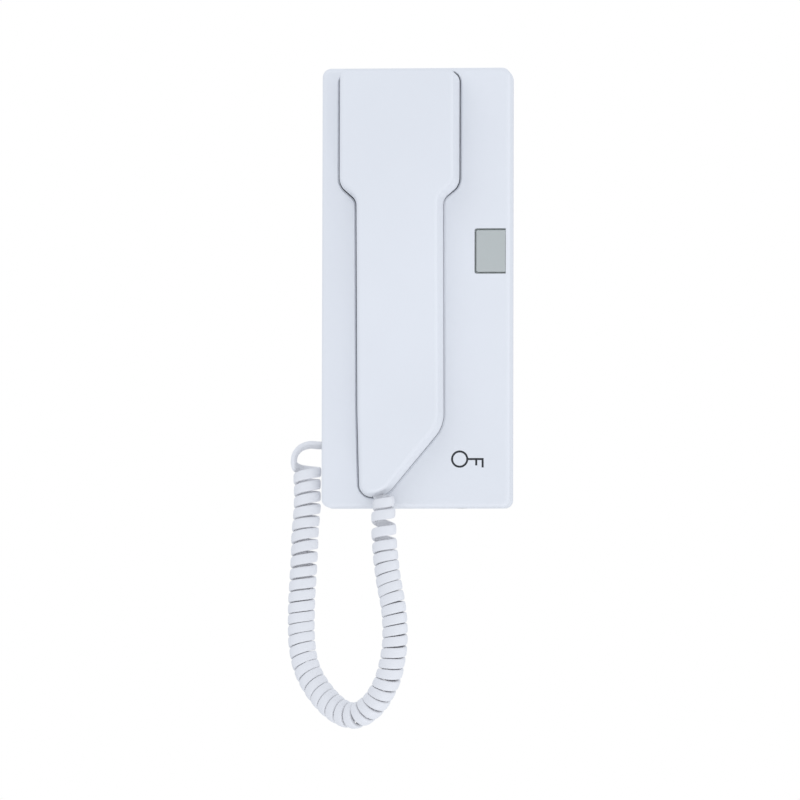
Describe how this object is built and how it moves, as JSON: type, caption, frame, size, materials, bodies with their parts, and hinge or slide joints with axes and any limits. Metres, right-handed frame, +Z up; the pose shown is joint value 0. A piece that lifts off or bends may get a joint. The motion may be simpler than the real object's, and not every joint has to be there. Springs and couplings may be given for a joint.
{
  "type": "wall handset telephone",
  "caption": "Slim white wall handset: rectangular base with a recess that holds the long angled handset, a grey push button at the right edge and a curly cord.",
  "frame": {"origin": "centre of the rear housing's back face, on the wall", "axes": "+Z up along the base, +X to the right seen from the front, the front faces -Y and the wall is the plane y = 0"},
  "size_m": [0.1126, 0.0439, 0.3309],
  "materials": {
    "white_gloss": "cool white injection-moulded ABS, satin gloss",
    "white_housing": "cool white moulded ABS, fine matt texture",
    "grey_button": "light grey moulded ABS, satin",
    "cord_white": "white flexible PVC cord jacket, satin",
    "clear_plug": "milky clear polycarbonate plug",
    "steel": "zinc-plated steel",
    "board_green": "green solder-masked glass-epoxy board",
    "terminal_green": "green moulded terminal block",
    "black_plastic": "black moulded plastic",
    "capacitor_sleeve": "dark blue shrink sleeve on a can",
    "resistor_body": "tan lacquered resistor body",
    "wire_insulation": "coloured PVC wire insulation",
    "ivory_plastic": "natural acetal",
    "capsule_metal": "pressed aluminium can",
    "black_rubber": "soft black rubber",
    "ballast_iron": "zinc-plated steel bar"
  },
  "bodies": {
    "base": {"rear_housing": "white_housing", "front_cover": "white_gloss", "cradle_hook": "white_gloss", "cover_screw": "steel", "main_board": "board_green", "board_screws": "steel", "terminal_block": "terminal_green", "terminal_screws": "steel", "hook_switch": "black_plastic", "hook_spring": "steel", "door_switch": "black_plastic", "button_spring": "steel", "call_buzzer": "black_plastic", "capacitors": "capacitor_sleeve", "resistors": "resistor_body", "speech_chip": "black_plastic", "base_jack": "black_plastic", "jack_wires": "wire_insulation", "base_plug": "clear_plug", "cord_lead_base": "cord_white", "cord_coil": "cord_white"},
    "handset": {"handset_front_shell": "white_gloss", "handset_rear_shell": "white_gloss", "handset_screws": "steel", "receiver_capsule": "capsule_metal", "receiver_gasket": "black_rubber", "microphone_capsule": "capsule_metal", "microphone_boot": "black_rubber", "handset_weight": "ballast_iron", "handset_jack": "black_plastic", "handset_wires": "wire_insulation", "handset_plug": "clear_plug", "cord_lead_handset": "cord_white"},
    "hook_plunger": {"hook_plunger": "ivory_plastic"},
    "door_button": {"door_button": "grey_button"},
    "door_switch_plunger": {"door_switch_plunger": "ivory_plastic"}
  },
  "joints": [
    {"name": "handset_lift", "type": "slide", "parent": "base", "child": "handset", "axis": [0, -0.9976, 0.0698], "range_m": [0, 0.12]},
    {"name": "hook_plunger_rise", "type": "slide", "parent": "base", "child": "hook_plunger", "axis": [0, -1, 0], "range_m": [0, 0.003], "deforming": ["hook_spring"]},
    {"name": "door_button_press", "type": "slide", "parent": "base", "child": "door_button", "axis": [0, 1, 0], "range_m": [0, 0.002], "stiffness_N_per_m": 400, "springref_m": -0.001, "deforming": ["button_spring"]},
    {"name": "door_switch_travel", "type": "slide", "parent": "base", "child": "door_switch_plunger", "axis": [0, 1, 0], "range_m": [0, 0.002]}
  ],
  "couplings": [
    {"joint": "hook_plunger_rise", "follows": "handset_lift", "ratio": 0.025},
    {"joint": "door_switch_travel", "follows": "door_button_press", "ratio": 1}
  ]
}
